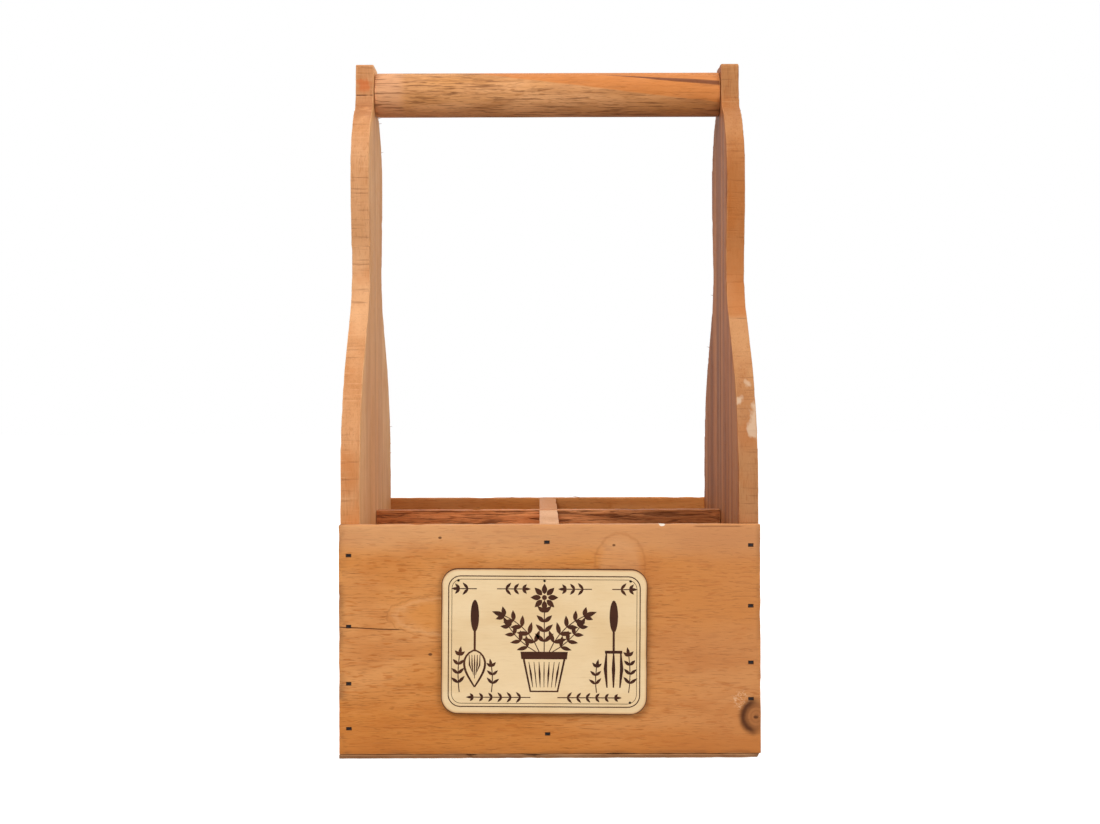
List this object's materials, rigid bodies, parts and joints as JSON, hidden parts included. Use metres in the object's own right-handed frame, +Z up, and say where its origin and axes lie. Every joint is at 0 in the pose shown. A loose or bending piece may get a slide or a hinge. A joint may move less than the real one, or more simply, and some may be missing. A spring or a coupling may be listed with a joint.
{
  "type": "garden trug",
  "caption": "Wooden garden trug with shaped sides and a round dowel handle, its open box divided into cells, with a small plaque on the front.",
  "frame": {"origin": "centre of the underside of the bottom board", "axes": "+X along the handle, to the right as seen from the front; +Y from the front panel, which carries the plaque, to the back; +Z up"},
  "size_m": [0.25, 0.253, 0.4298],
  "materials": {
    "stained_pine": "honey-orange stained softwood, satin, with visible grain",
    "rough_pine": "rough-sawn stained softwood, matt and dark",
    "plywood": "thin stained plywood, matt",
    "dowel": "stained round dowel, satin, with dark pores and a dark streak",
    "plaque_wood": "pale thin plywood, matt, with a burnt edge and burnt line work",
    "dark_steel": "darkened steel",
    "zinc_steel": "dull zinc-plated steel"
  },
  "bodies": {
    "root": {"bottom_board": "plywood", "front_panel": "stained_pine", "back_panel": "stained_pine", "left_side": "stained_pine", "right_side": "stained_pine", "long_divider": "rough_pine", "cross_divider": "stained_pine", "handle": "dowel", "plaque": "plaque_wood", "front_left_brads": "dark_steel", "front_right_brads": "dark_steel", "front_divider_brads": "dark_steel", "back_left_brads": "dark_steel", "back_right_brads": "dark_steel", "back_divider_brads": "dark_steel", "left_divider_brads": "dark_steel", "right_divider_brads": "dark_steel", "bottom_side_brads": "dark_steel", "bottom_panel_brads": "dark_steel", "left_handle_screw": "zinc_steel", "right_handle_screw": "zinc_steel", "plaque_pins": "zinc_steel"}
  },
  "joints": []
}
